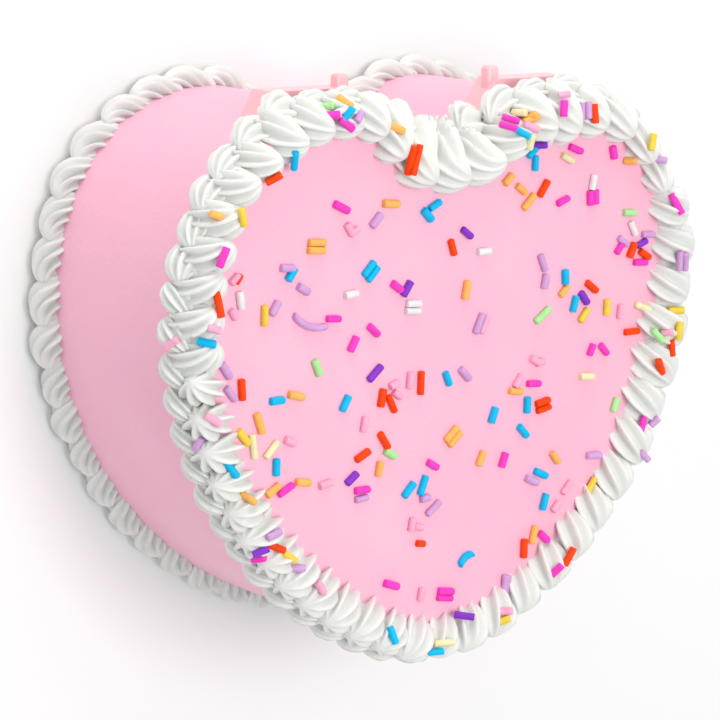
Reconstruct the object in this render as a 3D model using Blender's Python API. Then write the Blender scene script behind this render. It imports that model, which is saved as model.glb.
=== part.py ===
"""Heart-shaped keepsake box finished to look like a piped celebration cake.

The heart lies on its base with the decorated face up. The origin is the middle of the base,
+Y points from the heart's tip to its two lobes, and +Z is the way the decorated face looks.
Sizes are in millimetres until a mesh is made, and meshes are in metres.
"""
import math
import random
from collections import namedtuple

import bpy
import bmesh
from mathutils import Matrix, Vector
from mathutils.bvhtree import BVHTree

MM = 0.001
GAP = 0.3               # clearance between touching pieces

# The heart's outline, right half, seen from above
HEART_WIDTH = 165.0
HEART_LENGTH = 143.4    # tip to the tops of the lobes
LOBE_X = 35.5           # middle plane to the top of a lobe
CLEFT_DEPTH = 15.0      # the cleft's bottom below the lobes' tops
WAIST_Y = 19.0          # the widest place, above the heart's middle
CLEFT_HANDLE = 17.5     # how far each arc runs straight before it turns
LOBE_INNER_HANDLE = 19.0
LOBE_OUTER_HANDLE = 21.0
WAIST_UPPER_HANDLE = 39.0
WAIST_LOWER_HANDLE = 50.0
TIP_HANDLE = 31.5
ARC_STEPS = 48

# The box
BODY_HEIGHT = 67.0
BODY_POINTS = 110       # points round the body's outline
RIM_CHAMFER = 1.0

# One row of piped shells in a border's cross-section: its centre, measured out from the wall
# and up from the border's corner, its reach each way, the arc that it covers in degrees, the
# points on that arc, and how far along the row the arc starts, bows and slants, in shells
ShellRow = namedtuple("ShellRow", "out up wide tall start end points phase bow slant")

TOP_SHELLS = 50
TOP_FACE_ROW = ShellRow(-1.9, 0.0, 6.0, 6.2, 178.0, -12.0, 6, 0.0, 0.28, 0.0)
TOP_SIDE_ROW = ShellRow(0.6, -6.6, 5.5, 5.8, 38.0, -92.0, 5, 0.5, 0.28, 0.0)
BASE_SHELLS = 46
BASE_ROW = ShellRow(0.7, 4.8, 4.9, 5.1, 96.0, -72.0, 7, 0.0, 0.2, 0.3)

SHELL_STEPS = (0.0, 0.12, 0.42, 0.76)       # sections along one shell, head to tail
SHELL_DIP = 0.24        # how much a shell thins between its crown and its tail
HEAD_POWER = 0.6        # below 1 the crown sits nearer the head
RIDGE = 0.045           # the nozzle's ridges, as a share of the row's reach
SIZE_SPREAD = 0.05      # how unevenly the shells were squeezed
SIZE_SEED = 7

# In the cleft the top border is piped much fuller, out of the wall
FILL_MIDDLE = (2.0, 60.0)
FILL_SPAN = 19.0        # how far round the middle the fuller piping reaches
FILL_REACH = 1.1        # the extra reach out of the wall, as a share of the usual one

# Sprinkles: short clay rods pressed on to the face and on to the top border
SPRINKLE_LENGTH = 4.0
SPRINKLE_RADIUS = 0.97
SPRINKLE_SIDES = 6
SPRINKLE_RISE = 0.62            # the rod's axis above what it lies on
FACE_SPRINKLE_SEED = 22
FACE_SPOTS = 66
FACE_SPOT_SPACING = 10.2
FACE_MARGIN = 12.4              # from the heart's outline to a rod's middle
PAIR_SHARE = 0.22               # share of the spots with two rods side by side
TRIPLE_SHARE = 0.12
PAIR_STEP = 1.75                # between the middles of a pair, less than a rod's width
THIRD_STEP = 2.8                # from a pair's first rod to the one that leans across
THIRD_LEAN = 27.0               # degrees from square to the pair
TRIES = 6000
BORDER_SPRINKLE_SEED = 5
# Places on the top border, as shares of the way round from the tip, with the rods there
BORDER_CLUSTERS = ((0.035, 3), (0.13, 3), (0.255, 6), (0.335, 4), (0.39, 3), (0.445, 6),
                   (0.575, 6), (0.70, 3), (0.78, 3), (0.845, 3), (0.905, 5))
CLUSTER_LENGTH = 14.0
BORDER_LOW_ANGLE = 52.0         # where the rods lie round the row's own centre
BORDER_HIGH_ANGLE = 128.0
BORDER_SINK = 0.15
RAY_START = 40.0                # clear of the border, on the way to its surface

# The two raised blocks on the lobes' outer wall, each with a peg at its inner end
BLOCK_INNER_X = 19.9
BLOCK_OUTER_X = 53.6
BLOCK_TOP_Y = 75.3
BLOCK_INNER_SLOPE = 5.6
BLOCK_OUTER_SLOPE = 3.4
BLOCK_LOW_Z = 46.2
BLOCK_HIGH_Z = 54.2
BLOCK_FOOT_POINTS = 14
BLOCK_EDGE = 0.6
SHARP_ANGLE = 0.5               # radians; edges that turn more than this are rounded
PEG_X = 25.7
PEG_Z = 50.6
PEG_WIDTH = 4.1
PEG_DEPTH = 3.4
PEG_TOP_Y = 78.6
PEG_TAPER = 0.95
PEG_ROOT = 4.0                  # how far the peg reaches down into its block
PEG_EDGE = 0.8

PINK = (0.93, 0.50, 0.63)
CREAM = (0.88, 0.88, 0.85)
SALMON = (0.90, 0.42, 0.48)


def clear_scene():
    for thing in list(bpy.data.objects):
        bpy.data.objects.remove(thing, do_unlink=True)


def make_material(name, colour, roughness):
    material = bpy.data.materials.new(name)
    material.use_nodes = True
    shader = material.node_tree.nodes["Principled BSDF"]
    shader.inputs["Base Color"].default_value = (*colour, 1.0)
    shader.inputs["Roughness"].default_value = roughness
    shader.inputs["Metallic"].default_value = 0.0
    return material


def bezier(a, b, c, d, t):
    s = 1.0 - t
    return a * s ** 3 + b * (3 * s * s * t) + c * (3 * s * t * t) + d * t ** 3


def heart_half():
    """The right half of the outline, from the tip to the cleft."""
    top = HEART_LENGTH / 2
    side = HEART_WIDTH / 2
    tip = Vector((0.0, -top))
    waist = Vector((side, WAIST_Y))
    lobe = Vector((LOBE_X, top))
    cleft = Vector((0.0, top - CLEFT_DEPTH))
    across = Vector((1.0, 0.0))
    along = Vector((0.0, 1.0))
    arcs = (
        (tip, tip + across * TIP_HANDLE, waist - along * WAIST_LOWER_HANDLE, waist),
        (waist, waist + along * WAIST_UPPER_HANDLE, lobe + across * LOBE_OUTER_HANDLE, lobe),
        (lobe, lobe - across * LOBE_INNER_HANDLE, cleft + across * CLEFT_HANDLE, cleft),
    )
    points = []
    for arc in arcs:
        points += [bezier(*arc, step / ARC_STEPS) for step in range(ARC_STEPS)]
    return points + [cleft]


class Track:
    """The closed heart outline, read by the distance run from the tip, anticlockwise."""

    def __init__(self):
        half = heart_half()
        mirrored = [Vector((-p.x, p.y)) for p in reversed(half[1:-1])]
        self.points = half + mirrored
        self.starts = [0.0]
        for here, there in zip(self.points, self.points[1:] + self.points[:1]):
            self.starts.append(self.starts[-1] + (there - here).length)
        self.length = self.starts[-1]

    def place(self, distance):
        """The point and the outward direction at a distance from the tip."""
        distance %= self.length
        count = len(self.points)
        low, high = 0, count
        while high - low > 1:
            middle = (low + high) // 2
            if self.starts[middle] <= distance:
                low = middle
            else:
                high = middle
        share = (distance - self.starts[low]) / (self.starts[low + 1] - self.starts[low])
        after = (low + 1) % count
        point = self.points[low].lerp(self.points[after], share)
        normal = self.outward(low).lerp(self.outward(after), share).normalized()
        return point, normal

    def outward(self, index):
        count = len(self.points)
        run = self.points[(index + 1) % count] - self.points[(index - 1) % count]
        return Vector((run.y, -run.x)).normalized()

    def world(self, distance, out, up):
        """A point given by its distance round, its distance out of the wall and its height."""
        point, normal = self.place(distance)
        flat = point + normal * out
        return Vector((flat.x, flat.y, up))

    def inset(self, x, y):
        """How far a place lies from the outline, or a negative number outside it."""
        place = Vector((x, y))
        nearest = min(range(len(self.points)), key=lambda i: (self.points[i] - place).length)
        gap = self.points[nearest] - place
        return math.copysign(gap.length, gap.dot(self.outward(nearest)))


def finish_object(name, mesh_data, material, scale=MM):
    """Turns a bmesh in millimetres into a named object with outward faces."""
    bmesh.ops.recalc_face_normals(mesh_data, faces=mesh_data.faces)
    bmesh.ops.scale(mesh_data, vec=(scale, scale, scale), verts=mesh_data.verts)
    mesh = bpy.data.meshes.new(name)
    mesh_data.to_mesh(mesh)
    mesh_data.free()
    mesh.materials.append(material)
    thing = bpy.data.objects.new(name, mesh)
    bpy.context.collection.objects.link(thing)
    return thing


def bridge(mesh_data, loops, closed):
    """Joins loops of the same number of vertices with triangles."""
    count = len(loops[0])
    pairs = list(zip(loops, loops[1:]))
    if closed:
        pairs.append((loops[-1], loops[0]))
    for low, high in pairs:
        for i in range(count):
            j = (i + 1) % count
            mesh_data.faces.new((low[i], low[j], high[j]))
            mesh_data.faces.new((low[i], high[j], high[i]))


def union_with(thing, parts, name):
    """Fuses parts into an object by one Boolean on a collection, then removes the parts."""
    group = bpy.data.collections.new(name)
    bpy.context.scene.collection.children.link(group)
    for part in parts:
        for home in list(part.users_collection):
            home.objects.unlink(part)
        group.objects.link(part)
    fuse = thing.modifiers.new("fuse", "BOOLEAN")
    fuse.operation = "UNION"
    fuse.operand_type = "COLLECTION"
    fuse.collection = group
    fuse.solver = "EXACT"
    bpy.context.view_layer.objects.active = thing
    bpy.ops.object.modifier_apply(modifier=fuse.name)
    for part in parts:
        bpy.data.objects.remove(part, do_unlink=True)
    bpy.data.collections.remove(group)


def sprinkle(centre, axis, up, material):
    """One rod, lying with its axis along the given direction."""
    side = up.cross(axis).normalized()
    turn = Matrix((side, axis.cross(side).normalized(), axis)).transposed().to_4x4()
    rod = bmesh.new()
    bmesh.ops.create_cone(
        rod, cap_ends=True, segments=SPRINKLE_SIDES, radius1=SPRINKLE_RADIUS,
        radius2=SPRINKLE_RADIUS, depth=SPRINKLE_LENGTH,
        matrix=Matrix.Translation(centre) @ turn)
    return finish_object("sprinkle", rod, material)


def face_spots(track):
    """Even but irregular places for the face's rods, each a middle and a direction."""
    draw = random.Random(FACE_SPRINKLE_SEED)
    spots = []
    for _ in range(TRIES):
        if len(spots) == FACE_SPOTS:
            break
        x = draw.uniform(-HEART_WIDTH / 2, HEART_WIDTH / 2)
        y = draw.uniform(-HEART_LENGTH / 2, HEART_LENGTH / 2)
        near = any(math.hypot(x - s[0], y - s[1]) < FACE_SPOT_SPACING for s in spots)
        if near or track.inset(x, y) < FACE_MARGIN:
            continue
        spots.append((x, y, draw.uniform(0.0, math.pi), draw.random()))
    return spots


def face_sprinkles(track, material):
    """The rods on the face: single ones, pairs side by side and threes with one across."""
    up = Vector((0.0, 0.0, 1.0))
    height = BODY_HEIGHT + SPRINKLE_RISE
    rods = []
    for x, y, turn, kind in face_spots(track):
        axis = Vector((math.cos(turn), math.sin(turn), 0.0))
        side = up.cross(axis)
        middle = Vector((x, y, height))
        rods.append(sprinkle(middle, axis, up, material))
        if kind < PAIR_SHARE:
            beside = middle + side * PAIR_STEP
            rods.append(sprinkle(beside, axis, up, material))
        if kind < TRIPLE_SHARE:
            across = middle - side * THIRD_STEP
            lean = Matrix.Rotation(-math.radians(THIRD_LEAN), 3, "Z") @ side
            rods.append(sprinkle(across, lean, up, material))
    return rods


def make_body(track, pink):
    """The box: a solid heart with a small chamfer round its upper rim, and the face's rods."""
    levels = ((0.0, 0.0), (0.0, BODY_HEIGHT - RIM_CHAMFER), (-RIM_CHAMFER, BODY_HEIGHT))
    step = track.length / BODY_POINTS
    block = bmesh.new()
    loops = []
    for out, height in levels:
        places = [track.world(i * step, out, height) for i in range(BODY_POINTS)]
        loops.append([block.verts.new(place) for place in places])
    bridge(block, loops, closed=False)
    block.faces.new(loops[0])
    block.faces.new(loops[-1])
    body = finish_object("body", block, pink)
    union_with(body, face_sprinkles(track, pink), "face_sprinkles")
    return body


def swell(share, size):
    """The thickness of a shell along its length: steep at the head, long towards the tail."""
    crown = math.sin(math.pi * share ** HEAD_POWER)
    return size * (1.0 - SHELL_DIP * (1.0 - crown))


def arc_places(row, thickness):
    """The row's points in the cross-section, with the nozzle's ridges, and their shift."""
    places = []
    for index in range(row.points):
        share = index / (row.points - 1)
        angle = math.radians(row.start + (row.end - row.start) * share)
        ridge = 1.0 + (RIDGE if index % 2 else -RIDGE)
        out = row.out + row.wide * thickness * ridge * math.cos(angle)
        up = row.up + row.tall * thickness * ridge * math.sin(angle)
        bow = row.bow * (1.0 - (2.0 * share - 1.0) ** 2)
        shift = row.phase + bow + row.slant * (share - 0.5)
        places.append((out, up, shift))
    return places


def cleft_reach(track, distance, out):
    """A border's distance out of the wall, made greater in the cleft."""
    if out <= GAP:
        return out
    away = (track.place(distance)[0] - Vector(FILL_MIDDLE)).length / FILL_SPAN
    return GAP + (out - GAP) * (1.0 + FILL_REACH * math.exp(-away ** 4))


def border_mesh(track, shells, heading, section, fuller):
    """A ring swept round the heart, one ruffled section after another."""
    draw = random.Random(SIZE_SEED)
    sizes = [1.0 + draw.uniform(-SIZE_SPREAD, SIZE_SPREAD) for _ in range(shells)]
    pitch = track.length / shells
    ring = bmesh.new()
    loops = []
    for shell in range(shells):
        for step in SHELL_STEPS:
            thickness = swell(step, sizes[shell])
            loop = []
            for out, up, shift in section(thickness):
                distance = heading * (shell + step + shift) * pitch
                if fuller:
                    out = cleft_reach(track, distance, out)
                loop.append(ring.verts.new(track.world(distance, out, up)))
            loops.append(loop)
    bridge(ring, loops, closed=True)
    return ring


def top_section(thickness):
    """Both rows of the top border over the body's rim, closed by the corner they sit on."""
    face = arc_places(TOP_FACE_ROW, thickness)
    side = arc_places(TOP_SIDE_ROW, thickness)
    face[0] = (face[0][0], GAP, face[0][2])
    side[-1] = (GAP, side[-1][1], side[-1][2])
    corner = (GAP, GAP, (face[0][2] + side[-1][2]) / 2)
    return [(out, up + BODY_HEIGHT, shift) for out, up, shift in face + side + [corner]]


def base_section(thickness):
    """The base border against the wall and the ground, closed by its foot."""
    row = arc_places(BASE_ROW, thickness)
    row[0] = (GAP, row[0][1], row[0][2])
    row[-1] = (row[-1][0], 0.0, row[-1][2])
    foot = (GAP, 0.0, 0.0)
    return row + [foot]


def border_sprinkles(track, ring, material):
    """Rods in loose clusters on the top border, each laid on the surface under it."""
    draw = random.Random(BORDER_SPRINKLE_SEED)
    tree = BVHTree.FromBMesh(ring)
    rods = []
    for share, count in BORDER_CLUSTERS:
        for _ in range(count):
            distance = share * track.length + draw.uniform(-0.5, 0.5) * CLUSTER_LENGTH
            angle = math.radians(draw.uniform(BORDER_LOW_ANGLE, BORDER_HIGH_ANGLE))
            point, normal = track.place(distance)
            away = Vector((*(normal * math.cos(angle)), math.sin(angle)))
            centre = track.world(distance, TOP_FACE_ROW.out, BODY_HEIGHT + TOP_FACE_ROW.up)
            hit = tree.ray_cast(centre + away * RAY_START, -away)[0]
            along = Vector((-normal.y, normal.x, 0.0))
            turn = draw.uniform(0.0, math.pi)
            axis = (along * math.cos(turn) + away.cross(along) * math.sin(turn)).normalized()
            middle = hit + away * BORDER_SINK
            rods.append(sprinkle(middle, axis, away, material))
    return rods


def make_top_border(track, cream):
    """The double row of shells round the face, clockwise, with rods on its crest."""
    ring = border_mesh(track, TOP_SHELLS, -1, top_section, fuller=True)
    bmesh.ops.recalc_face_normals(ring, faces=ring.faces)
    rods = border_sprinkles(track, ring, cream)
    border = finish_object("top_border", ring, cream)
    union_with(border, rods, "border_sprinkles")
    return border


def make_base_border(track, cream):
    """The rope-like row of shells round the foot, anticlockwise."""
    ring = border_mesh(track, BASE_SHELLS, 1, base_section, fuller=False)
    return finish_object("base_border", ring, cream)


def wall_height(track, x):
    """The outline's height over a place on the right lobe."""
    over = [p for p in track.points if p.x >= 0.0 and p.y > WAIST_Y]
    after = min((p for p in over if p.x >= x), key=lambda p: p.x)
    before = max((p for p in over if p.x < x), key=lambda p: p.x)
    return before.y + (after.y - before.y) * (x - before.x) / (after.x - before.x)


def block_outline(track):
    """The block's shape seen from above: a foot that fits the lobe and a flat top."""
    span = BLOCK_OUTER_X - BLOCK_INNER_X
    outline = []
    for i in range(BLOCK_FOOT_POINTS):
        x = BLOCK_INNER_X + span * i / (BLOCK_FOOT_POINTS - 1)
        outline.append((x, wall_height(track, x) + 2 * GAP))
    outline.append((BLOCK_OUTER_X - BLOCK_OUTER_SLOPE, BLOCK_TOP_Y))
    outline.append((BLOCK_INNER_X + BLOCK_INNER_SLOPE, BLOCK_TOP_Y))
    return outline


def round_edges(mesh_data, edges, offset):
    bmesh.ops.bevel(mesh_data, geom=edges, offset=offset, segments=2, profile=0.5, affect="EDGES")


def make_hinge(name, track, side, salmon):
    """One raised block with its peg, on the right lobe or mirrored on to the left one."""
    block = bmesh.new()
    outline = block_outline(track)
    loops = []
    for height in (BLOCK_LOW_Z, BLOCK_HIGH_Z):
        loops.append([block.verts.new((side * x, y, height)) for x, y in outline])
    bridge(block, loops, closed=False)
    for loop in loops:
        block.faces.new(loop)
    top_edges = [e for e in block.edges if all(v.co.y > BLOCK_TOP_Y - BLOCK_EDGE for v in e.verts)
                 and len(e.link_faces) == 2 and e.calc_face_angle(0.0) > SHARP_ANGLE]
    round_edges(block, top_edges, BLOCK_EDGE)
    hinge = finish_object(name, block, salmon)

    height = PEG_TOP_Y - BLOCK_TOP_Y + PEG_ROOT
    peg = bmesh.new()
    bmesh.ops.create_cube(peg, size=1.0)
    bmesh.ops.scale(peg, vec=(PEG_WIDTH, height, PEG_DEPTH), verts=peg.verts)
    for vert in peg.verts:
        if vert.co.y > 0.0:
            vert.co.x *= PEG_TAPER
            vert.co.z *= PEG_TAPER
    upright = [e for e in peg.edges if e.verts[0].co.y * e.verts[1].co.y < 0.0]
    round_edges(peg, upright, PEG_EDGE)
    rim = [e for e in peg.edges if all(v.co.y > 0.0 for v in e.verts)]
    round_edges(peg, rim, PEG_EDGE)
    bmesh.ops.translate(peg, vec=(side * PEG_X, PEG_TOP_Y - height / 2, PEG_Z), verts=peg.verts)
    union_with(hinge, [finish_object("peg", peg, salmon)], "peg")
    return hinge


def main():
    clear_scene()
    track = Track()
    pink = make_material("pink_shell", PINK, 0.45)
    cream = make_material("piped_cream", CREAM, 0.6)
    salmon = make_material("salmon_block", SALMON, 0.4)
    make_body(track, pink)
    make_top_border(track, cream)
    make_base_border(track, cream)
    make_hinge("hinge_left", track, -1, salmon)
    make_hinge("hinge_right", track, 1, salmon)


main()
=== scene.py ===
# %% [markdown]
# # A heart-shaped keepsake box that looks like an iced cake
# The real thing is a box whose lid and wall are coated in pink paste, with stiff white paste piped
# round its face and its foot through a star nozzle, and little rods of coloured clay strewn on it.
# It starts from the solids that were packed for physics, which fix every size and place. Here they
# are dressed: the pink heart gets a hand-spread coat, each squeeze of piping gets its own ridges,
# and every clay rod gets its colour.

import math

import bpy
import numpy as np
from mathutils import Matrix, Vector
from mathutils.bvhtree import BVHTree


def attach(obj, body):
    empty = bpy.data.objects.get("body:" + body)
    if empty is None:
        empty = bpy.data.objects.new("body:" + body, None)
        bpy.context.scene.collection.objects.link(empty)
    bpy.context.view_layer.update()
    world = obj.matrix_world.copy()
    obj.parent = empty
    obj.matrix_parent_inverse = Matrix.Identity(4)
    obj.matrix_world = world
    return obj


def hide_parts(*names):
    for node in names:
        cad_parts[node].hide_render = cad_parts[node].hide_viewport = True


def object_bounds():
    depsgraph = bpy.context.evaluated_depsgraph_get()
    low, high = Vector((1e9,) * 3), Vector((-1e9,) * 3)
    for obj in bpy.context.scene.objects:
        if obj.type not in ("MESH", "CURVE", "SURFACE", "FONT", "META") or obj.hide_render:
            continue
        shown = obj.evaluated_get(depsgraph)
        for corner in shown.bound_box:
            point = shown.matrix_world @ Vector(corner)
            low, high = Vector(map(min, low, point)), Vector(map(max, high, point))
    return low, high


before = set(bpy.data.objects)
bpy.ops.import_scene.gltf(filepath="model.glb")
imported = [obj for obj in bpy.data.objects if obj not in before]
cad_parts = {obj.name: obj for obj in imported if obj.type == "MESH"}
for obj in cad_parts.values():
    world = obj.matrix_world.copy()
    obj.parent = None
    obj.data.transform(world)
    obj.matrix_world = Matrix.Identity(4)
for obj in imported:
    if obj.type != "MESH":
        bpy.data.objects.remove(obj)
cad_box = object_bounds()
bpy.ops.object.select_all(action="DESELECT")
MM = 0.001
print("solids:", sorted(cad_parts))

# %% [markdown]
# ## The camera
# The box lies on its base with the iced face up, so the camera looks down on it from the left. It
# stands far off with a long lens, which keeps the two lobes nearly level with each other.

# %% Place the camera
CAMERA_PLACE = Vector((-0.5203, 0.1581, 0.6524))
CAMERA_RIGHT = Vector((0.76999, 0.03142, 0.63727))
CAMERA_UP = Vector((0.09958, 0.98063, -0.16866))
CAMERA_BACK = Vector((-0.63023, 0.19332, 0.75196))
CAMERA_LENS = 153.58

camera_data = bpy.data.cameras.new("camera")
camera_data.sensor_width = 36.0
camera_data.lens = CAMERA_LENS
camera_data.clip_start = 0.05
camera = bpy.data.objects.new("camera", camera_data)
bpy.context.scene.collection.objects.link(camera)
turn = Matrix((CAMERA_RIGHT, CAMERA_UP, CAMERA_BACK)).transposed().to_4x4()
camera.matrix_world = Matrix.Translation(CAMERA_PLACE) @ turn
bpy.context.scene.camera = camera
print("camera stands", round(CAMERA_PLACE.length * 1000), "mm from the middle of the base")

# %% [markdown]
# ## The heart's outline
# Every piece follows one outline, so it is worked out once. Half a heart is three smooth arcs: from
# the tip to the waist, from the waist over the lobe, and down into the cleft. Each arc is a Bezier
# curve that leaves its ends squarely, so the arcs join without a corner. The other half is
# mirrored.

# %% Sizes of the box and its outline, in millimetres
HEART_WIDTH = 165.0
HEART_LENGTH = 143.4
LOBE_X = 35.5
CLEFT_DEPTH = 15.0
WAIST_Y = 19.0
TIP_HANDLE = 31.5
WAIST_LOWER_HANDLE = 50.0
WAIST_UPPER_HANDLE = 39.0
LOBE_OUTER_HANDLE = 21.0
LOBE_INNER_HANDLE = 19.0
CLEFT_HANDLE = 17.5
FACE_HEIGHT = 67.0
ARC_STEPS = 96
OUTWARD_REACH = 5       # neighbours on each side that an outward direction is averaged with


def arc(a, b, c, d):
    """Points on one Bezier arc, without its last one."""
    t = np.linspace(0.0, 1.0, ARC_STEPS, endpoint=False)[:, None]
    s = 1.0 - t
    return a * s**3 + 3 * b * s * s * t + 3 * c * s * t * t + d * t**3


def heart_outline():
    """The closed outline, anticlockwise from the tip."""
    tip = np.array((0.0, -HEART_LENGTH / 2))
    waist = np.array((HEART_WIDTH / 2, WAIST_Y))
    lobe = np.array((LOBE_X, HEART_LENGTH / 2))
    cleft = np.array((0.0, HEART_LENGTH / 2 - CLEFT_DEPTH))
    across = np.array((1.0, 0.0))
    along = np.array((0.0, 1.0))
    half = np.concatenate((
        arc(tip, tip + across * TIP_HANDLE, waist - along * WAIST_LOWER_HANDLE, waist),
        arc(waist, waist + along * WAIST_UPPER_HANDLE, lobe + across * LOBE_OUTER_HANDLE, lobe),
        arc(lobe, lobe - across * LOBE_INNER_HANDLE, cleft + across * CLEFT_HANDLE, cleft),
        cleft[None, :],
    ))
    return np.concatenate((half, half[1:-1][::-1] * (-1.0, 1.0)))


def softened(directions, reach):
    """Directions averaged with their neighbours on a closed loop, at unit length."""
    total = sum(np.roll(directions, shift, axis=0) for shift in range(-reach, reach + 1))
    return total / np.linalg.norm(total, axis=1)[:, None]


outline = heart_outline()
steps_round = np.linalg.norm(np.roll(outline, -1, axis=0) - outline, axis=1)
distance_to = np.concatenate(((0.0,), np.cumsum(steps_round)))
outline_length = distance_to[-1]
run = np.roll(outline, -1, axis=0) - np.roll(outline, 1, axis=0)
outward = softened(np.stack((run[:, 1], -run[:, 0]), axis=1), OUTWARD_REACH)
closed_outline = np.concatenate((outline, outline[:1]))
closed_outward = np.concatenate((outward, outward[:1]))


def on_outline(distance, out, up):
    """Places in metres, from how far round, how far out of the outline and how high they are."""
    where = np.mod(distance, outline_length)
    rows = (*closed_outline.T, *closed_outward.T)
    x, y, nx, ny = (np.interp(where, distance_to, row) for row in rows)
    size = np.hypot(nx, ny)
    return np.stack((x + out * nx / size, y + out * ny / size, up), axis=1) * MM


def outline_place(distance):
    """The place on the outline, in millimetres, at one distance round it."""
    return on_outline(np.array((distance,)), 0.0, np.zeros(1))[0, :2] / MM


print("the outline is", round(outline_length), "mm round")

# %% [markdown]
# ## The pink heart
# Under the paste the real box is a plain heart-shaped case. Modelled by hand it is a ring of
# vertices moved on to the outline, filled, and extruded up to the face. The rim gets a small round
# bevel, as wet paste never keeps a knife edge, although the piping hides most of it.

# %% Extrude the heart and round its rim
BODY_POINTS = 240
RIM_ROUND = 1.2
RIM_STEPS = 4
BODY_SHARP_ANGLE = 35.0         # edges that turn more than this, in degrees, stay crisp


def start_object(name):
    """The object that a primitive has just added, under its own name."""
    thing = bpy.context.object
    thing.name = name
    thing.data.name = name
    return thing


def move_vertices(thing, places):
    """Puts an object's vertices at places in metres."""
    thing.data.vertices.foreach_set("co", np.asarray(places, np.float32).ravel())
    thing.data.update()


def add_copy(name, plain, places):
    """A copy of a plain shape with its vertices put at other places in metres."""
    copy = bpy.data.objects.new(name, plain.data.copy())
    bpy.context.collection.objects.link(copy)
    move_vertices(copy, places)
    return copy


def join_copies(name, copies):
    """Makes one piece of many copies and leaves it selected."""
    for copy in copies:
        copy.select_set(True)
    bpy.context.view_layer.objects.active = copies[0]
    bpy.ops.object.join()
    return start_object(name)


def face_outward():
    """Turns all faces of the object in edit mode to the outside."""
    bpy.ops.mesh.select_all(action="SELECT")
    bpy.ops.mesh.normals_make_consistent(inside=False)


bpy.ops.mesh.primitive_circle_add(vertices=BODY_POINTS, fill_type="NGON")
pink_heart = start_object("pink_heart")
spots = np.arange(BODY_POINTS) * outline_length / BODY_POINTS
move_vertices(pink_heart, on_outline(spots, 0.0 * spots, 0.0 * spots))
bpy.ops.object.mode_set(mode="EDIT")
bpy.ops.mesh.select_all(action="SELECT")
bpy.ops.mesh.extrude_region_move(TRANSFORM_OT_translate={"value": (0, 0, FACE_HEIGHT * MM)})
bpy.ops.mesh.bevel(offset=RIM_ROUND * MM, segments=RIM_STEPS, affect="EDGES")
face_outward()
bpy.ops.object.mode_set(mode="OBJECT")
bpy.ops.object.shade_smooth_by_angle(angle=math.radians(BODY_SHARP_ANGLE))
pink_heart.select_set(False)
print("pink heart:", len(pink_heart.data.polygons), "faces")

# %% [markdown]
# ## One squeeze of piping
# A star nozzle leaves a ridged dome. All its ridges run together into a small peak where the hand
# pulls away, and fan out over the dome to end as a row of points. A UV sphere already has lines
# that fan out from a pole, so its pole becomes the peak and its meridians become the ridges. The
# line from the peak through the dome to its foot is bent, which tips the fan over.

# %% Sizes of a squeeze in each row
# Places are (along the row, out of the wall, up), in millimetres from the rim or the foot's corner.
# A dome is "stretch" times as wide in the direction "across". "nose" and "tail" say how blunt it
# is at its peak and at its foot, the less the blunter. "depth" is that of its grooves, as a share
# of its radius. "keenness" narrows its ridges, and "smooth" evens them out on one side. "twist" is
# how far they turn on the way to the peak, in radians.
# Both top rows are piped one way along the sides and the tip, and another way over the lobes.
FACE_SQUEEZE = {
    "peak": (4.0, 3.5, 2.8), "middle": (2.0, -1.5, 1.1), "foot": (-6.0, -6.0, -5.0),
    "across": (1.0, 0.5, 0.0), "radius": 6.6, "stretch": 1.18, "nose": 0.7, "tail": 0.4,
    "ridges": 9, "depth": 0.38, "keenness": 2.0, "smooth": 0.0, "twist": 0.5,
}
FACE_LOBE_SQUEEZE = {
    "peak": (5.2, -4.0, 3.8), "middle": (-3.0, -1.6, -1.2), "foot": (-3.0, -0.2, -9.0),
    "across": (0.0, 1.0, 0.0), "radius": 7.7, "stretch": 0.84, "nose": 0.55, "tail": 0.5,
    "ridges": 11, "depth": 0.32, "keenness": 1.5, "smooth": 0.0, "twist": 0.9,
}
SIDE_SQUEEZE = {
    "peak": (5.0, 1.3, -9.5), "middle": (0.5, 1.6, -5.0), "foot": (-5.0, 0.5, -1.0),
    "across": (0.0, 0.4, 1.0), "radius": 4.6, "stretch": 1.15, "nose": 0.6, "tail": 0.5,
    "ridges": 10, "depth": 0.34, "keenness": 1.6, "smooth": 0.0, "twist": -0.5,
}
SIDE_LOBE_SQUEEZE = {
    "peak": (-7.5, 2.4, -2.6), "middle": (-1.0, 0.9, -5.8), "foot": (7.0, -0.8, -7.2),
    "across": (0.0, 0.4, 1.0), "radius": 4.7, "stretch": 1.2, "nose": 0.8, "tail": 0.4,
    "ridges": 10, "depth": 0.32, "keenness": 1.8, "smooth": 0.0, "twist": 0.3,
}
FOOT_SQUEEZE = {
    "peak": (7.0, 1.8, 5.7), "middle": (-1.0, -0.1, 2.3), "foot": (-7.5, -2.4, 8.6),
    "across": (0.0, 1.0, 0.0), "radius": 5.6, "stretch": 0.97, "nose": 0.55, "tail": 0.4,
    "ridges": 8, "depth": 0.50, "keenness": 1.2, "smooth": 0.5, "twist": -1.4,
}
# The squeezes of the lobes are used above a line: its place in the middle, and its slope.
FACE_LOBES_ABOVE = (26.0, 0.25)
SIDE_LOBES_ABOVE = (32.0, 0.0)
DOME_MERIDIANS = 60
DOME_RINGS = 26
GROOVE_START = 0.3      # the share of the way from the peak over which grooves grow to full depth
GROOVE_GROWTH = 0.6     # how fast they do, the less the faster
SMOOTH_MIDDLE = np.pi / 4       # where round a dome its smooth side has its middle
SMOOTH_BESIDE = 0.1             # how smooth a dome is a quarter of the way round from there
SMOOTH_GAIN = 1.3               # how much smoother it is in the middle

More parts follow.
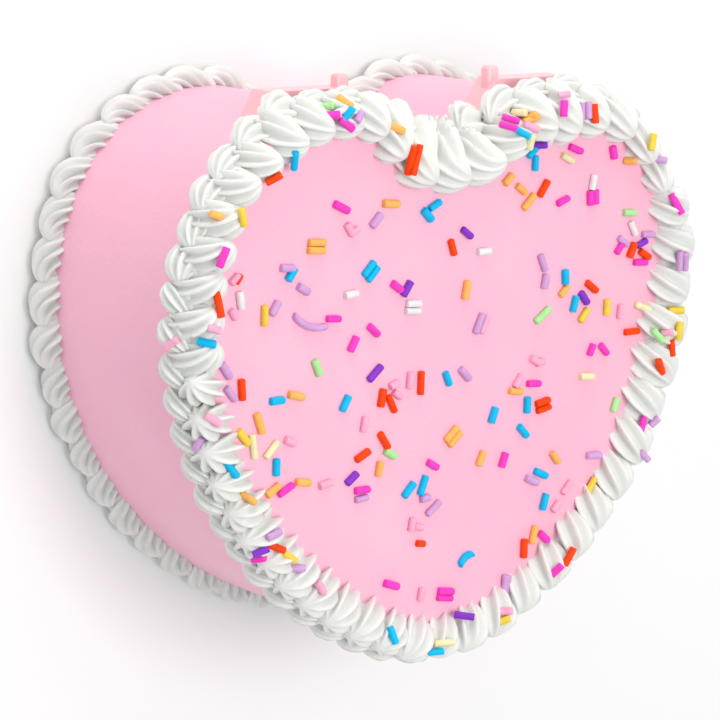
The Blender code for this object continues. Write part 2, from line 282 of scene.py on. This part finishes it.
# %% The ridged dome
bpy.ops.mesh.primitive_uv_sphere_add(segments=DOME_MERIDIANS, ring_count=DOME_RINGS, radius=1.0)
plain_ball = start_object("plain_ball")
bpy.ops.object.shade_smooth()
ball = np.array([vertex.co for vertex in plain_ball.data.vertices])
from_pole = (1.0 - ball[:, 2]) / 2
azimuth = np.arctan2(ball[:, 1], ball[:, 0])
plain_ball.select_set(False)


def unit(rows):
    return rows / np.linalg.norm(rows, axis=1)[:, None]


def squeeze_places(shape, size, roll, extra_twist, lean):
    """One dome's places in the row and how deep each lies in a groove, from 0 to 1."""
    share = from_pole[:, None]
    peak, middle, foot, across = (np.array(shape[k]) for k in ("peak", "middle", "foot", "across"))
    peak = peak + lean
    spine = (1 - share) ** 2 * peak + 2 * (1 - share) * share * middle + share**2 * foot
    axis = unit(2 * (1 - share) * (middle - peak) + 2 * share * (foot - middle))
    sideways = unit(across - (axis @ across)[:, None] * axis)
    upward = np.cross(axis, sideways)
    turned = azimuth + roll + (shape["twist"] + extra_twist) * (1 - from_pole)
    crest = ((1 + np.cos(turned * shape["ridges"])) / 2) ** shape["keenness"]
    facing = SMOOTH_BESIDE + SMOOTH_GAIN * np.cos(azimuth - SMOOTH_MIDDLE)
    ridged = 1 - shape["smooth"] * np.clip(facing, 0, 1)
    groove = (1 - crest) * np.clip(from_pole / GROOVE_START, 0, 1) ** GROOVE_GROWTH * ridged
    bluntness = shape["nose"] + (shape["tail"] - shape["nose"]) * from_pole
    swell = np.sin(np.pi * from_pole) ** bluntness
    reach = shape["radius"] * size * swell * (1 - shape["depth"] * groove)
    places = spine + (reach * np.cos(azimuth) * shape["stretch"])[:, None] * sideways
    return places + (reach * np.sin(azimuth))[:, None] * upward, groove


# %% [markdown]
# ## Rows of squeezes
# A hand never squeezes twice alike, so each dome in a row is a copy of the ball with its own size,
# twist and place, all drawn from a seeded list, and bent on to the heart's outline. The row is
# joined into one piece. How deep a vertex lies in a groove is kept as an attribute, so that the
# paste can be painted a greyer white down there as painted shade in the grooves.

# %% Pipe the three rows
TOP_SQUEEZES = 50
FOOT_SQUEEZES = 46
USUAL_PITCH = 11.6      # the distance between squeezes that their shapes are drawn for
CROWDING = 0.14         # how much closer together the squeezes of the top rows lie on the left
# How unevenly the squeezes were made: their sizes, how far each may be rolled and twisted, in
# radians, and how far its peak and the whole of it, along and out of the row, may stray, in
# millimetres
LEAST_SIZE, GREATEST_SIZE = 0.92, 1.04
ROLL = 0.35
TWIST = 0.25
LEAN = 0.6
STRAY_ALONG = 0.5
STRAY_OUT = 0.25
# Stretches where a row was piped otherwise: the middle of the stretch, how far it reaches, how
# sharply it ends, and the change in millimetres. The face row lies further in at four places. Both
# top rows bulge out of the wall in the cleft and on the left lobe, and in the cleft the side row
# also sags a little.
FACE_IN = (((78.0, -1.0), 24.0, 2, 5.5), ((34.0, 71.0), 17.0, 2, 6.0),
           ((-15.0, 64.0), 12.0, 2, 3.0), ((-50.0, -40.0), 45.0, 4, 1.5))
FACE_OUT = (((-6.0, 60.0), 15.0, 4, 8.5), ((-55.0, 68.0), 9.0, 2, 3.5))
SIDE_OUT = (((10.0, 61.0), 14.0, 4, 7.0), ((-55.0, 68.0), 9.0, 2, 3.5))
SIDE_DOWN = (((9.0, 59.0), 10.0, 4, 3.0),)
ROW_REACH = 6.0         # how far out of the wall a row usually reaches
FACE_ROW_EDGE = 5.0     # how far out of the wall the face row stays the same when it is drawn in
FACE_ROW_WIDTH = 13.0
FLOOR_GAP = 0.05


def change_at(distance, stretches):
    """The change that a list of stretches makes at a distance round the outline."""
    here = outline_place(distance)
    return sum(change * math.exp(-(math.dist(here, middle) / span) ** power)
               for middle, span, power, change in stretches)


def row_place(number, count, phase, crowding):
    """How far along its row a squeeze starts, and how closely it is squashed up."""
    share = (number + phase) / count
    turn = 2 * math.pi * share
    start = outline_length * (share + crowding * (math.cos(turn) - 1) / (2 * math.pi))
    squash = outline_length / count * (1 - crowding * math.sin(turn)) / USUAL_PITCH
    return start, squash


def pipe_row(name, shapes, count, heading, phase, height, seed,
             floor=None, changes=((), (), ()), crowding=0.0, lobes_above=(0.0, 0.0)):
    """Copies of the ball, shaped, bent round the heart and joined.

    The shapes are the usual one and the one for the lobes, and the changes are the stretches where
    the row lies further in, further out and lower.
    """
    draw = np.random.default_rng(seed)
    line_height, line_slope = lobes_above
    copies = []
    for number in range(count):
        size = draw.uniform(LEAST_SIZE, GREATEST_SIZE)
        roll, twist = draw.uniform(-ROLL, ROLL), draw.uniform(-TWIST, TWIST)
        lean = draw.uniform(-LEAN, LEAN, 3)
        start, squash = row_place(number, count, phase, crowding)
        start += draw.uniform(-STRAY_ALONG, STRAY_ALONG)
        x, y = outline_place(heading * start)
        shape = shapes[-1] if y > line_height + line_slope * x else shapes[0]
        places, groove = squeeze_places(shape, size, roll, twist, lean)
        along, out, up = places.T
        along = along * squash
        further_in, further_out, lower = (change_at(heading * start, part) for part in changes)
        out = out + (out - FACE_ROW_EDGE) * further_in / FACE_ROW_WIDTH
        out = np.where(out > 0.0, out * (1 + further_out / ROW_REACH), out)
        out = out + draw.uniform(-STRAY_OUT, STRAY_OUT)
        up = up + height - lower
        if floor is not None:
            up = np.maximum(up, floor)
        copy = add_copy(name, plain_ball, on_outline(heading * (start + along), out, up))
        depth = copy.data.attributes.new("groove", "FLOAT", "POINT")
        depth.data.foreach_set("value", groove.astype(np.float32))
        copies.append(copy)
    row = join_copies(name, copies)
    bpy.ops.object.mode_set(mode="EDIT")
    face_outward()
    bpy.ops.object.mode_set(mode="OBJECT")
    row.select_set(False)
    print(name, "has", count, "squeezes and", len(row.data.polygons), "faces")
    return row


face_piping = pipe_row(
    "face_piping", (FACE_SQUEEZE, FACE_LOBE_SQUEEZE), TOP_SQUEEZES, heading=-1, phase=0.0,
    height=FACE_HEIGHT, seed=3, changes=(FACE_IN, FACE_OUT, ()), crowding=CROWDING,
    lobes_above=FACE_LOBES_ABOVE)
side_piping = pipe_row(
    "side_piping", (SIDE_SQUEEZE, SIDE_LOBE_SQUEEZE), TOP_SQUEEZES, heading=-1, phase=0.5,
    height=FACE_HEIGHT, seed=4, changes=((), SIDE_OUT, SIDE_DOWN), crowding=CROWDING,
    lobes_above=SIDE_LOBES_ABOVE)
foot_piping = pipe_row(
    "foot_piping", (FOOT_SQUEEZE,), FOOT_SQUEEZES, heading=1, phase=0.0, height=0.0, seed=5,
    floor=FLOOR_GAP)
bpy.data.objects.remove(plain_ball)

# %% [markdown]
# ## Clay rods
# The sprinkles are cut from long strings of polymer clay, so each is a short rod with flat,
# slightly softened ends. One rod is modelled: a disc, extruded in four steps so that it can be
# curved, with its end edges bevelled. Where each rod lies is a plan read off the picture: the place
# on the level of the face that the camera sees it against, the way it points in degrees, and its
# length, with a sideways curve for the few that are bent. Each is laid on whatever the camera sees
# at its place, so a rod on the piping sits on the paste, and is turned to lie flat on it.

# %% Where the rods lie, by colour: x and y in millimetres, degrees, length and for some a curve
RODS = {
    "orange": (
        (49.6, 66.4, 100, 5.2), (-15.5, 58.3, 75, 8), (-13.7, 57.8, 75, 8), (-59.2, 56, 20, 4.4),
        (31, 47.6, 55, 5), (-0.3, 34.3, 110, 4.4), (-69.7, 31.9, 55, 2.6), (64.9, 28.5, 65, 4.4),
        (69.7, 27, 150, 4.2), (-76.1, 25.6, 105, 6.4), (50.2, 19.7, 145, 4.6), (66.2, 5.9, 0, 5),
        (-67.7, 4.1, 95, 5.4), (83.3, 0.1, 100, 4.8), (-9.4, -0.4, 90, 6.2),
        (-22.4, -2.9, 80, 4.8), (78.9, -4.7, 115, 5), (-19.2, -4.8, 120, 5.2),
        (34, -10.2, 10, 4.8), (34.4, -12.1, 10, 4.8), (-21.3, -14.2, 125, 5.2),
        (-28.3, -17.3, 25, 4.8), (-55.7, -38, 155, 4.8), (-7.6, -43.4, 170, 2.6),
        (29.5, -50, 90, 5.2), (46.4, -54.7, 55, 5.4),
    ),
    "apricot": (
        (-37.2, 73.2, 150, 4.6), (25.9, 67.2, 15, 4.6), (-20.6, 65.7, 160, 4.2),
        (25.8, 65.5, 15, 5), (63.4, 53.2, 175, 3.4), (18.3, 50.8, 40, 3.6),
        (-76.5, 48.4, 160, 3.4), (23.1, 47.9, 145, 4), (-21.6, 47.1, 175, 5),
        (25.9, 44.4, 45, 5.2), (-45.3, 39, 175, 5.2), (-45.5, 37.1, 175, 5.2), (5.1, 22.7, 80, 5),
        (40.1, 19.4, 45, 3.8), (-50.6, 0.7, 165, 4.8), (-62, -5, 110, 5.6), (24, -6.2, 170, 4.4),
        (1.8, -15.2, 40, 5.2), (3, -16.6, 40, 5.2), (-22.5, -21.5, 80, 4),
        (-47.6, -21.9, 170, 4.6), (-57.1, -22.7, 30, 4.6), (12.6, -23.1, 65, 4.2),
        (-64.6, -24.6, 145, 4.6), (39.5, -26.1, 130, 4), (32.8, -46.7, 75, 5),
    ),
    "lemon": (
        (71.3, 57.5, 80, 4.6), (-69, 46.9, 105, 4.6), (-61.2, 22, 90, 5.2), (56.4, 13.5, 90, 4.4),
        (47.9, 12.1, 50, 4.4), (83.4, 9.9, 175, 4.6), (84.5, 4.5, 85, 5), (-66.9, -8, 130, 5),
        (53, -35.9, 55, 5.2), (-50.3, -41.4, 145, 5), (24.2, -69.4, 10, 3.4),
    ),
    "straw": (
        (22.3, 68.4, 175, 4.2), (26.3, 60.3, 75, 4), (39.2, 55.1, 155, 4.4),
        (69.6, 12.4, 160, 4.6), (69.8, 12.4, 160, 5), (49.9, -4.9, 175, 4.6),
        (-63.7, -10.7, 100, 6.4), (-57.9, -12.2, 45, 5.4), (2.5, -71.8, 175, 5.6),
    ),
    "mint": (
        (-42.4, 72.7, 0, 3.8), (63.2, 38.9, 175, 4.2), (32.6, 13.5, 35, 6), (-44.1, 7.2, 115, 4.6),
        (76.8, 3.5, 140, 4.6), (61.3, -14, 70, 4), (-19.1, -17.9, 150, 4),
    ),
    "sky": (
        (-35.9, 70.3, 45, 4.2), (23.2, 62.4, 155, 4.4), (-52.7, 60.5, 85, 5.2),
        (26.4, 57.7, 40, 4.2), (27.7, 54.5, 90, 4), (-6.8, 45.7, 25, 4), (-9.2, 43.4, 135, 4.2),
        (-53.1, 31.7, 55, 3.8), (-28.1, 31, 45, 4.8), (-26.8, 29.6, 45, 4.8), (40.4, 23.2, 95, 4),
        (-78.3, 16.3, 165, 4.6), (44.2, 15.5, 75, 4.4), (-56.6, 0.1, 0, 4.2), (-0.3, -0.2, 115, 4),
        (-34.5, -3, 60, 4.4), (28.5, -10.4, 90, 4.4), (16.4, -11.8, 70, 4.4),
        (-71.1, -15.8, 130, 5.2), (-56.2, -16.9, 90, 4.4), (27.3, -17.4, 135, 4.4),
        (-7.4, -27.8, 70, 5.4), (-12.2, -28.4, 45, 4.8), (34.4, -29.9, 155, 4.6),
        (36.3, -38, 75, 4.6), (8.8, -50.1, 30, 5.2, 0.9), (-15.1, -67.4, 115, 4.8),
        (-0.8, -73.6, 175, 4.4),
    ),
    "violet": (
        (29.9, 59.4, 0, 3.6), (4.5, 37.7, 145, 4), (68.4, 30.1, 20, 3.8), (-15.3, 24.8, 55, 4.4),
        (47.6, 16.9, 130, 4.2), (-25, 3.8, 40, 5.4), (-31.6, -22.9, 35, 4.2),
        (-60, -38.2, 10, 4.4), (9.3, -66.4, 165, 5.4),
    ),
    "lilac": (
        (-33, 69.2, 55, 3.2), (47.6, 67.4, 95, 4.6), (45.7, 67.3, 95, 4.6), (73.3, 52.3, 170, 5),
        (-26.2, 43.2, 45, 4.4), (-54.4, 33.3, 175, 4.2), (70.7, 32.4, 175, 4.2),
        (61.3, 31.2, 145, 4), (31.9, 27.7, 115, 5), (-49.2, 27.6, 150, 3.8), (85.4, 24.1, 90, 5.4),
        (83.5, 24.1, 90, 5.4), (-58, 23.6, 55, 4), (33.1, 22.6, 80, 4),
        (-46.7, 19.4, 160, 11, 1.5), (10, 13.4, 65, 5.6), (-72.9, 9.5, 125, 5),
        (-71.1, 3.4, 130, 4.6), (5.7, 0.4, 135, 4.6), (-80.2, -7.5, 55, 3.6),
        (77.1, -20.5, 30, 3.2), (54, -27.3, 175, 5), (-28.2, -28.6, 5, 4), (73.9, -29.8, 140, 3.6),
        (31.2, -31.4, 155, 4.4), (-6.6, -31.4, 5, 3), (-3.5, -34.4, 35, 5.4),
        (-56.3, -34.8, 15, 4.6), (-48.6, -44.6, 170, 4), (24.5, -59, 85, 5.2),
        (24.7, -59.1, 85, 5),
    ),
    "magenta": (
        (-41.5, 70.4, 0, 4.6), (36.9, 68.4, 90, 4.4), (-36.7, 68.3, 145, 4.6),
        (18.8, 66.3, 165, 4.8), (18.3, 64.4, 165, 4.8), (42, 57.4, 160, 4.6),
        (56.1, 55.7, 105, 3.6), (-37.8, 47.3, 155, 5), (50.2, 44.1, 95, 4), (48.3, 43.9, 95, 4),
        (38.2, 43.8, 20, 4.2), (82.2, 39.6, 130, 6.4), (-74.3, 37.7, 65, 5.2),
        (60.1, 29.4, 50, 3.6), (-18.7, 25.6, 145, 3.8), (68.2, 24.9, 175, 4.6),
        (-39.3, 19.2, 175, 4.2), (-26, 15, 140, 4.2), (-32.5, 12.1, 60, 4.2), (51.3, 2.3, 65, 3.4),
        (55.9, 2, 135, 4), (30.4, -4.8, 175, 4.4), (72.5, -21.4, 75, 4.8), (-4.4, -22.7, 150, 3.8),
        (-53, -23.1, 25, 5.2), (20.7, -24.5, 70, 4.2), (-28.1, -26.4, 0, 4.6),
        (-60.1, -40.1, 0, 4), (36.5, -47.7, 140, 4), (-17.2, -53.1, 160, 4.8),
        (1.8, -57.7, 170, 5), (43.7, -58.2, 30, 4.2), (1.5, -59.5, 170, 5),
    ),
    "blush": (
        (37.4, 71.9, 5, 3.2), (25.6, 63.8, 160, 4.6), (-34.9, 41.6, 125, 3.4),
        (-33.3, 40.9, 30, 3), (-70.7, 31.9, 40, 3.2), (-70.9, 23.2, 125, 3),
        (-76.3, 20.1, 160, 3.4), (-89, 17.5, 20, 4.4), (11.9, 13, 65, 5.2), (61.6, 11.9, 85, 4),
        (82, 4.3, 0, 3.2), (30.6, 1.5, 150, 3.4), (32.4, 0.8, 10, 2.6), (-13, 0.7, 85, 4.4),
        (-18.5, 0.1, 20, 3), (-17.3, -2.6, 145, 3.2), (-75.6, -2.7, 150, 4.4), (24.9, -3.5, 50, 4),
        (-28, -9.2, 80, 4), (-52.1, -10.8, 155, 3.4), (-40.2, -23.3, 10, 4),
        (44.5, -35.1, 45, 4.4), (-10.7, -37.8, 80, 3.6), (-8.5, -38.8, 165, 3),
        (40.7, -39.9, 45, 3.4), (-41, -50, 125, 4), (-6.6, -57.3, 80, 3.6),
        (24.4, -67.1, 175, 4.4),
    ),
    "white": (
        (-38.4, 71, 15, 3.4), (49, 48.1, 80, 4.2), (64.8, 34.5, 120, 4.4), (10.7, 32.4, 0, 4.2),
        (-68.8, 26.5, 100, 4.6), (-33.8, 24.9, 5, 4), (-12.9, 20.7, 175, 4.6),
        (-13.1, 18.8, 175, 4.6),
    ),
}

# %% Model one rod and measure where it lands
ROD_RADIUS = 0.97
ROD_SIDES = 12
ROD_STEPS = 4
ROD_EDGE = 0.22
ROD_SUNK = 0.3          # how far a rod is pressed into the paste
ROD_SHARP_ANGLE = 50.0
THINNEST_ROD, THICKEST_ROD = 0.92, 1.08
FIRST_ROD_SEED = 20     # of the first colour, and each other colour has the next one
STEEPEST = 0.6          # how steeply a rod may tip, as rise over run
ROD_SPOTS = 8           # how many places along a rod, and across it, are felt for what it lies on
FELT_ALONG = 0.4        # how far out they lie along it, as a share of its length
FELT_ACROSS = 0.8       # and across it, as a share of its radius
DRAWN_IN = 0.99         # how a rod past the edge of the paste is drawn in, a step at a time

bpy.ops.mesh.primitive_circle_add(vertices=ROD_SIDES, radius=ROD_RADIUS, fill_type="NGON")
plain_rod = start_object("plain_rod")
bpy.ops.object.mode_set(mode="EDIT")
bpy.ops.mesh.select_all(action="SELECT")
for _ in range(ROD_STEPS):
    bpy.ops.mesh.extrude_region_move(TRANSFORM_OT_translate={"value": (0, 0, 1)})
face_outward()
bpy.ops.mesh.select_all(action="DESELECT")
bpy.ops.object.mode_set(mode="OBJECT")
for edge in plain_rod.data.edges:
    heights = [plain_rod.data.vertices[i].co.z for i in edge.vertices]
    edge.select = heights[0] == heights[1] and heights[0] in (0.0, float(ROD_STEPS))
bpy.ops.object.mode_set(mode="EDIT")
bpy.ops.mesh.select_mode(type="EDGE")
bpy.ops.mesh.bevel(offset=ROD_EDGE, segments=2, affect="EDGES")
bpy.ops.object.mode_set(mode="OBJECT")
bpy.ops.object.shade_smooth_by_angle(angle=math.radians(ROD_SHARP_ANGLE))
rod = np.array([vertex.co for vertex in plain_rod.data.vertices])
rod[:, 2] = rod[:, 2] / ROD_STEPS - 0.5
plain_rod.select_set(False)


def surface_tree(things):
    """A tree that finds where a ray meets any of the things."""
    vertices, polygons = [], []
    for thing in things:
        first = len(vertices)
        vertices += [vertex.co.copy() for vertex in thing.data.vertices]
        polygons += [[first + i for i in polygon.vertices] for polygon in thing.data.polygons]
    return BVHTree.FromPolygons(vertices, polygons)


landing = surface_tree((pink_heart, face_piping, side_piping, foot_piping))


def look(x, y):
    """The camera's way to a place on the level of the face, and how far away it meets something."""
    way = (Vector((x, y, FACE_HEIGHT)) * MM - CAMERA_PLACE).normalized()
    return way, landing.ray_cast(CAMERA_PLACE, way)[3]


def seen(x, y, reach, leeway):
    """What the camera sees at a place, as if no nearer or farther off than reach by the leeway."""
    way, here = look(x, y)
    here = reach if here is None else here
    return CAMERA_PLACE + way * min(max(here, reach - leeway), reach + leeway)


def rod_matrix(x, y, degrees, length):
    """Turns and places a rod so that it lies on what the camera sees under it."""
    turn = math.radians(degrees)
    way, reach = look(x, y)
    while reach is None:
        x, y = DRAWN_IN * x, DRAWN_IN * y
        way, reach = look(x, y)
    middle = CAMERA_PLACE + way * reach
    spots = {}
    felt = ((turn, length * FELT_ALONG), (turn + math.pi / 2, ROD_RADIUS * FELT_ACROSS))
    for angle, span in felt:
        leeway = STEEPEST * span * MM
        spots[angle] = [seen(x + side * math.cos(angle), y + side * math.sin(angle), reach, leeway)
                        for side in np.linspace(-span, span, ROD_SPOTS)]
    axis, across = ((line[-1] - line[0]).normalized() for line in spots.values())
    normal = axis.cross(across).normalized()
    across = normal.cross(axis)
    lift = max((spot - middle).dot(normal) for line in spots.values() for spot in line)
    place = middle + normal * (max(lift, 0.0) + (ROD_RADIUS - ROD_SUNK) * MM)
    turned = Matrix((across, normal, axis)).transposed().to_4x4()
    return Matrix.Translation(place) @ turned


def press_in(copy):
    """Moves a rod that stands out of the solids' box a little way back into the paste."""
    corners = np.array([vertex.co for vertex in copy.data.vertices])
    low = np.maximum(np.array(cad_box[0]) - corners.min(axis=0), 0.0)
    high = np.maximum(corners.max(axis=0) - np.array(cad_box[1]), 0.0)
    copy.data.transform(Matrix.Translation(low - high))


# %% Strew the rods, one piece for each colour
def strew(colour, rows, seed):
    """All the rods of one colour as one piece."""
    draw = np.random.default_rng(seed)
    copies = []
    for x, y, degrees, length, *bend in rows:
        thick = draw.uniform(THINNEST_ROD, THICKEST_ROD)
        shape = rod * (thick, thick, length)
        if bend:
            shape[:, 0] += bend[0] * (1 - (2 * shape[:, 2] / length) ** 2)
        copy = add_copy("rods_" + colour, plain_rod, shape * MM)
        copy.data.transform(rod_matrix(x, y, degrees, length))
        press_in(copy)
        copies.append(copy)
    strewn = join_copies("rods_" + colour, copies)
    strewn.select_set(False)
    return strewn


rods = {colour: strew(colour, rows, FIRST_ROD_SEED + number)
        for number, (colour, rows) in enumerate(RODS.items())}
bpy.data.objects.remove(plain_rod)
print(sum(len(rows) for rows in RODS.values()), "rods in", len(rods), "colours")

# %% [markdown]
# ## Finishes
# The same fine unevenness of a hand-made surface is on the pink coat, the white paste, the clay and
# the plastic, only at other scales. So it is one node group with named inputs, placed in each
# material with its own values. It gives a slowly changing tone for the colour and a bump.

# %% The shared group for a hand-made surface
def hand_made_group():
    group = bpy.data.node_groups.new("hand_made", "ShaderNodeTree")
    for name, default in (("Patch Scale", 30.0), ("Grain Scale", 900.0), ("Patch Height", 0.5)):
        socket = group.interface.new_socket(name, in_out="INPUT", socket_type="NodeSocketFloat")
        socket.default_value = default
    group.interface.new_socket("Tone", in_out="OUTPUT", socket_type="NodeSocketFloat")
    group.interface.new_socket("Height", in_out="OUTPUT", socket_type="NodeSocketFloat")
    nodes, links = group.nodes, group.links
    given = nodes.new("NodeGroupInput")
    place = nodes.new("ShaderNodeTexCoord")
    patches = nodes.new("ShaderNodeTexNoise")
    patches.inputs["Detail"].default_value = 3.0
    patches.inputs["Roughness"].default_value = 0.5
    grain = nodes.new("ShaderNodeTexNoise")
    grain.inputs["Detail"].default_value = 2.0
    scaled = nodes.new("ShaderNodeMath")
    scaled.operation = "MULTIPLY"
    total = nodes.new("ShaderNodeMath")
    total.operation = "ADD"
    result = nodes.new("NodeGroupOutput")
    links.new(place.outputs["Object"], patches.inputs["Vector"])
    links.new(place.outputs["Object"], grain.inputs["Vector"])
    links.new(given.outputs["Patch Scale"], patches.inputs["Scale"])
    links.new(given.outputs["Grain Scale"], grain.inputs["Scale"])
    links.new(patches.outputs["Fac"], scaled.inputs[0])
    links.new(given.outputs["Patch Height"], scaled.inputs[1])
    links.new(scaled.outputs[0], total.inputs[0])
    links.new(grain.outputs["Fac"], total.inputs[1])
    links.new(patches.outputs["Fac"], result.inputs["Tone"])
    links.new(total.outputs[0], result.inputs["Height"])
    return group


hand_made = hand_made_group()


def new_material(name, roughness):
    material = bpy.data.materials.new(name)
    material.use_nodes = True
    shader = material.node_tree.nodes["Principled BSDF"]
    shader.inputs["Roughness"].default_value = roughness
    return material, material.node_tree.nodes, material.node_tree.links, shader


def add_surface(nodes, links, shader, patch_scale, grain_scale, patch_height, depth):
    """Places the shared group, feeds its height to a bump, and returns its tone."""
    surface = nodes.new("ShaderNodeGroup")
    surface.node_tree = hand_made
    surface.inputs["Patch Scale"].default_value = patch_scale
    surface.inputs["Grain Scale"].default_value = grain_scale
    surface.inputs["Patch Height"].default_value = patch_height
    bump = nodes.new("ShaderNodeBump")
    bump.inputs["Strength"].default_value = 1.0
    bump.inputs["Distance"].default_value = depth
    links.new(surface.outputs["Height"], bump.inputs["Height"])
    links.new(bump.outputs["Normal"], shader.inputs["Normal"])
    return surface.outputs["Tone"]


def tint(nodes, links, shader, factor, stops):
    """Colours a surface by a ramp on a value. Each stop is (position, (red, green, blue))."""
    band = nodes.new("ShaderNodeValToRGB")
    while len(band.color_ramp.elements) < len(stops):
        band.color_ramp.elements.new(0.5)
    for element, (position, colour) in zip(band.color_ramp.elements, stops):
        element.position = position
        element.color = (*colour, 1.0)
    links.new(factor, band.inputs["Fac"])
    links.new(band.outputs["Color"], shader.inputs["Base Color"])


# %% [markdown]
# The pink coat is paste spread with a palette knife: a satin surface with faint, wide changes of
# tone. The white paste is duller. Its colour goes from warm white on the ridges to a greyer white
# in the grooves, read from the attribute that the piping kept. The greyer white is painted shade.

# %% Pink coat and white paste
pink_coat, nodes, links, shader = new_material("pink_coat", 0.42)
tone = add_surface(nodes, links, shader,
                   patch_scale=28.0, grain_scale=700.0, patch_height=6.0, depth=0.00012)
tint(nodes, links, shader, tone, ((0.3, (0.93, 0.455, 0.60)), (0.7, (0.96, 0.495, 0.635))))
pink_heart.data.materials.append(pink_coat)

white_paste, nodes, links, shader = new_material("white_paste", 0.5)
shader.inputs["Subsurface Weight"].default_value = 0.2
shader.inputs["Subsurface Scale"].default_value = 0.0015
shader.inputs["Subsurface Radius"].default_value = (1.0, 0.9, 0.8)
add_surface(nodes, links, shader,
            patch_scale=260.0, grain_scale=2600.0, patch_height=2.0, depth=0.00006)
groove = nodes.new("ShaderNodeAttribute")
groove.attribute_name = "groove"
# The darker, greyer white at full groove depth is painted shade in the grooves.
whites_with_painted_groove_shade = ((0.1, (0.81, 0.81, 0.785)), (1.0, (0.69, 0.71, 0.67)))
tint(nodes, links, shader, groove.outputs["Fac"], whites_with_painted_groove_shade)
for row in (face_piping, side_piping, foot_piping):
    row.data.materials.clear()
    row.data.materials.append(white_paste)

# %% [markdown]
# The clay colours are written as a screen shows them, and turned into light values. Each has
# slightly darker patches, so the rods aren't all quite alike.

# %% Coloured clay
CLAY = {
    "orange": (255, 72, 0), "apricot": (255, 188, 98), "lemon": (244, 212, 76),
    "straw": (240, 234, 186), "mint": (176, 238, 160), "sky": (0, 192, 244),
    "violet": (138, 56, 204), "lilac": (214, 166, 218), "magenta": (252, 66, 200),
    "blush": (255, 178, 208), "white": (238, 236, 236),
}
CLAY_SHADE = 0.88       # how bright a rod's darkest patches are beside its lightest


def linear(colour):
    """A colour as a screen shows it, 0 to 255, as the light that a shader takes, by sRGB's rule."""
    parts = (value / 255 for value in colour)
    return tuple(v / 12.92 if v <= 0.04045 else ((v + 0.055) / 1.055) ** 2.4 for v in parts)


for colour, shown in CLAY.items():
    clay, nodes, links, shader = new_material("clay_" + colour, 0.5)
    shader.inputs["Specular IOR Level"].default_value = 0.2
    tone = add_surface(nodes, links, shader,
                       patch_scale=400.0, grain_scale=3000.0, patch_height=2.0, depth=0.00004)
    full = linear(shown)
    tint(nodes, links, shader, tone, ((0.3, tuple(CLAY_SHADE * v for v in full)), (0.7, full)))
    rods[colour].data.materials.clear()
    rods[colour].data.materials.append(clay)
print(len(CLAY), "clay colours")

# %% [markdown]
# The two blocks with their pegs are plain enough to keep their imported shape. They only get a
# smoother, salmon-coloured plastic.

# %% Salmon blocks
salmon_plastic, nodes, links, shader = new_material("salmon_plastic", 0.35)
tone = add_surface(nodes, links, shader,
                   patch_scale=60.0, grain_scale=1500.0, patch_height=1.0, depth=0.00004)
tint(nodes, links, shader, tone, ((0.3, (0.94, 0.48, 0.53)), (0.7, (0.96, 0.54, 0.59))))
for name in ("hinge_left", "hinge_right"):
    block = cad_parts[name]
    for slot in block.material_slots:
        slot.material = salmon_plastic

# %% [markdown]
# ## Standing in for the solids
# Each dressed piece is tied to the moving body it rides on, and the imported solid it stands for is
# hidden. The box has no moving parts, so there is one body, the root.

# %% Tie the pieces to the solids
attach(pink_heart, "root")
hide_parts("body")
for piece in rods.values():
    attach(piece, "root")
    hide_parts("body", "top_border")
borders = ((face_piping, "top_border"), (side_piping, "top_border"), (foot_piping, "base_border"))
for row, node in borders:
    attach(row, "root")
    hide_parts(node)

# %% [markdown]
# ## Floor and light
# A plain pale floor, and soft light from a large lamp above the lobes, a broad one on the camera's
# side, and an even white surround. The lamps stand by the camera's own directions, so the lobes
# catch the light and the tip falls into shade.

# %% Floor, lamps and surround
bpy.ops.mesh.primitive_plane_add(size=6.0, location=(0, 0, 0))
floor = start_object("floor")
floor.select_set(False)
paper, nodes, links, shader = new_material("paper", 0.9)
tone = add_surface(nodes, links, shader,
                   patch_scale=3.0, grain_scale=200.0, patch_height=1.0, depth=0.00001)
tint(nodes, links, shader, tone, ((0.0, (0.90, 0.90, 0.90)), (1.0, (0.92, 0.92, 0.92))))
floor.data.materials.append(paper)

AIM = Vector((0.0, 0.0, 0.04))
LAMP_SIZE = 0.6
SKY_COLOUR = (0.96, 0.98, 1.0)
SKY_STRENGTH = 0.64


def add_lamp(name, right, up, back, distance, watts, colour):
    """A square lamp, placed by how far it lies to the right, up and back as the camera sees it."""
    data = bpy.data.lights.new(name, "AREA")
    data.size = LAMP_SIZE
    data.energy = watts
    data.color = colour
    lamp = bpy.data.objects.new(name, data)
    bpy.context.scene.collection.objects.link(lamp)
    way = (CAMERA_RIGHT * right + CAMERA_UP * up + CAMERA_BACK * back).normalized()
    lamp.location = AIM + way * distance
    lamp.rotation_euler = way.to_track_quat("Z", "Y").to_euler()


add_lamp("key", right=0.0, up=1.0, back=0.4, distance=0.9, watts=4.2, colour=(1.0, 0.98, 0.94))
add_lamp("fill", right=0.7, up=-0.1, back=1.0, distance=1.1, watts=6.5, colour=(1.0, 0.98, 0.96))

world = bpy.data.worlds.new("surround")
bpy.context.scene.world = world
world.use_nodes = True
background = world.node_tree.nodes["Background"]
background.inputs["Color"].default_value = (*SKY_COLOUR, 1.0)
background.inputs["Strength"].default_value = SKY_STRENGTH
bpy.context.scene.view_settings.view_transform = "Standard"
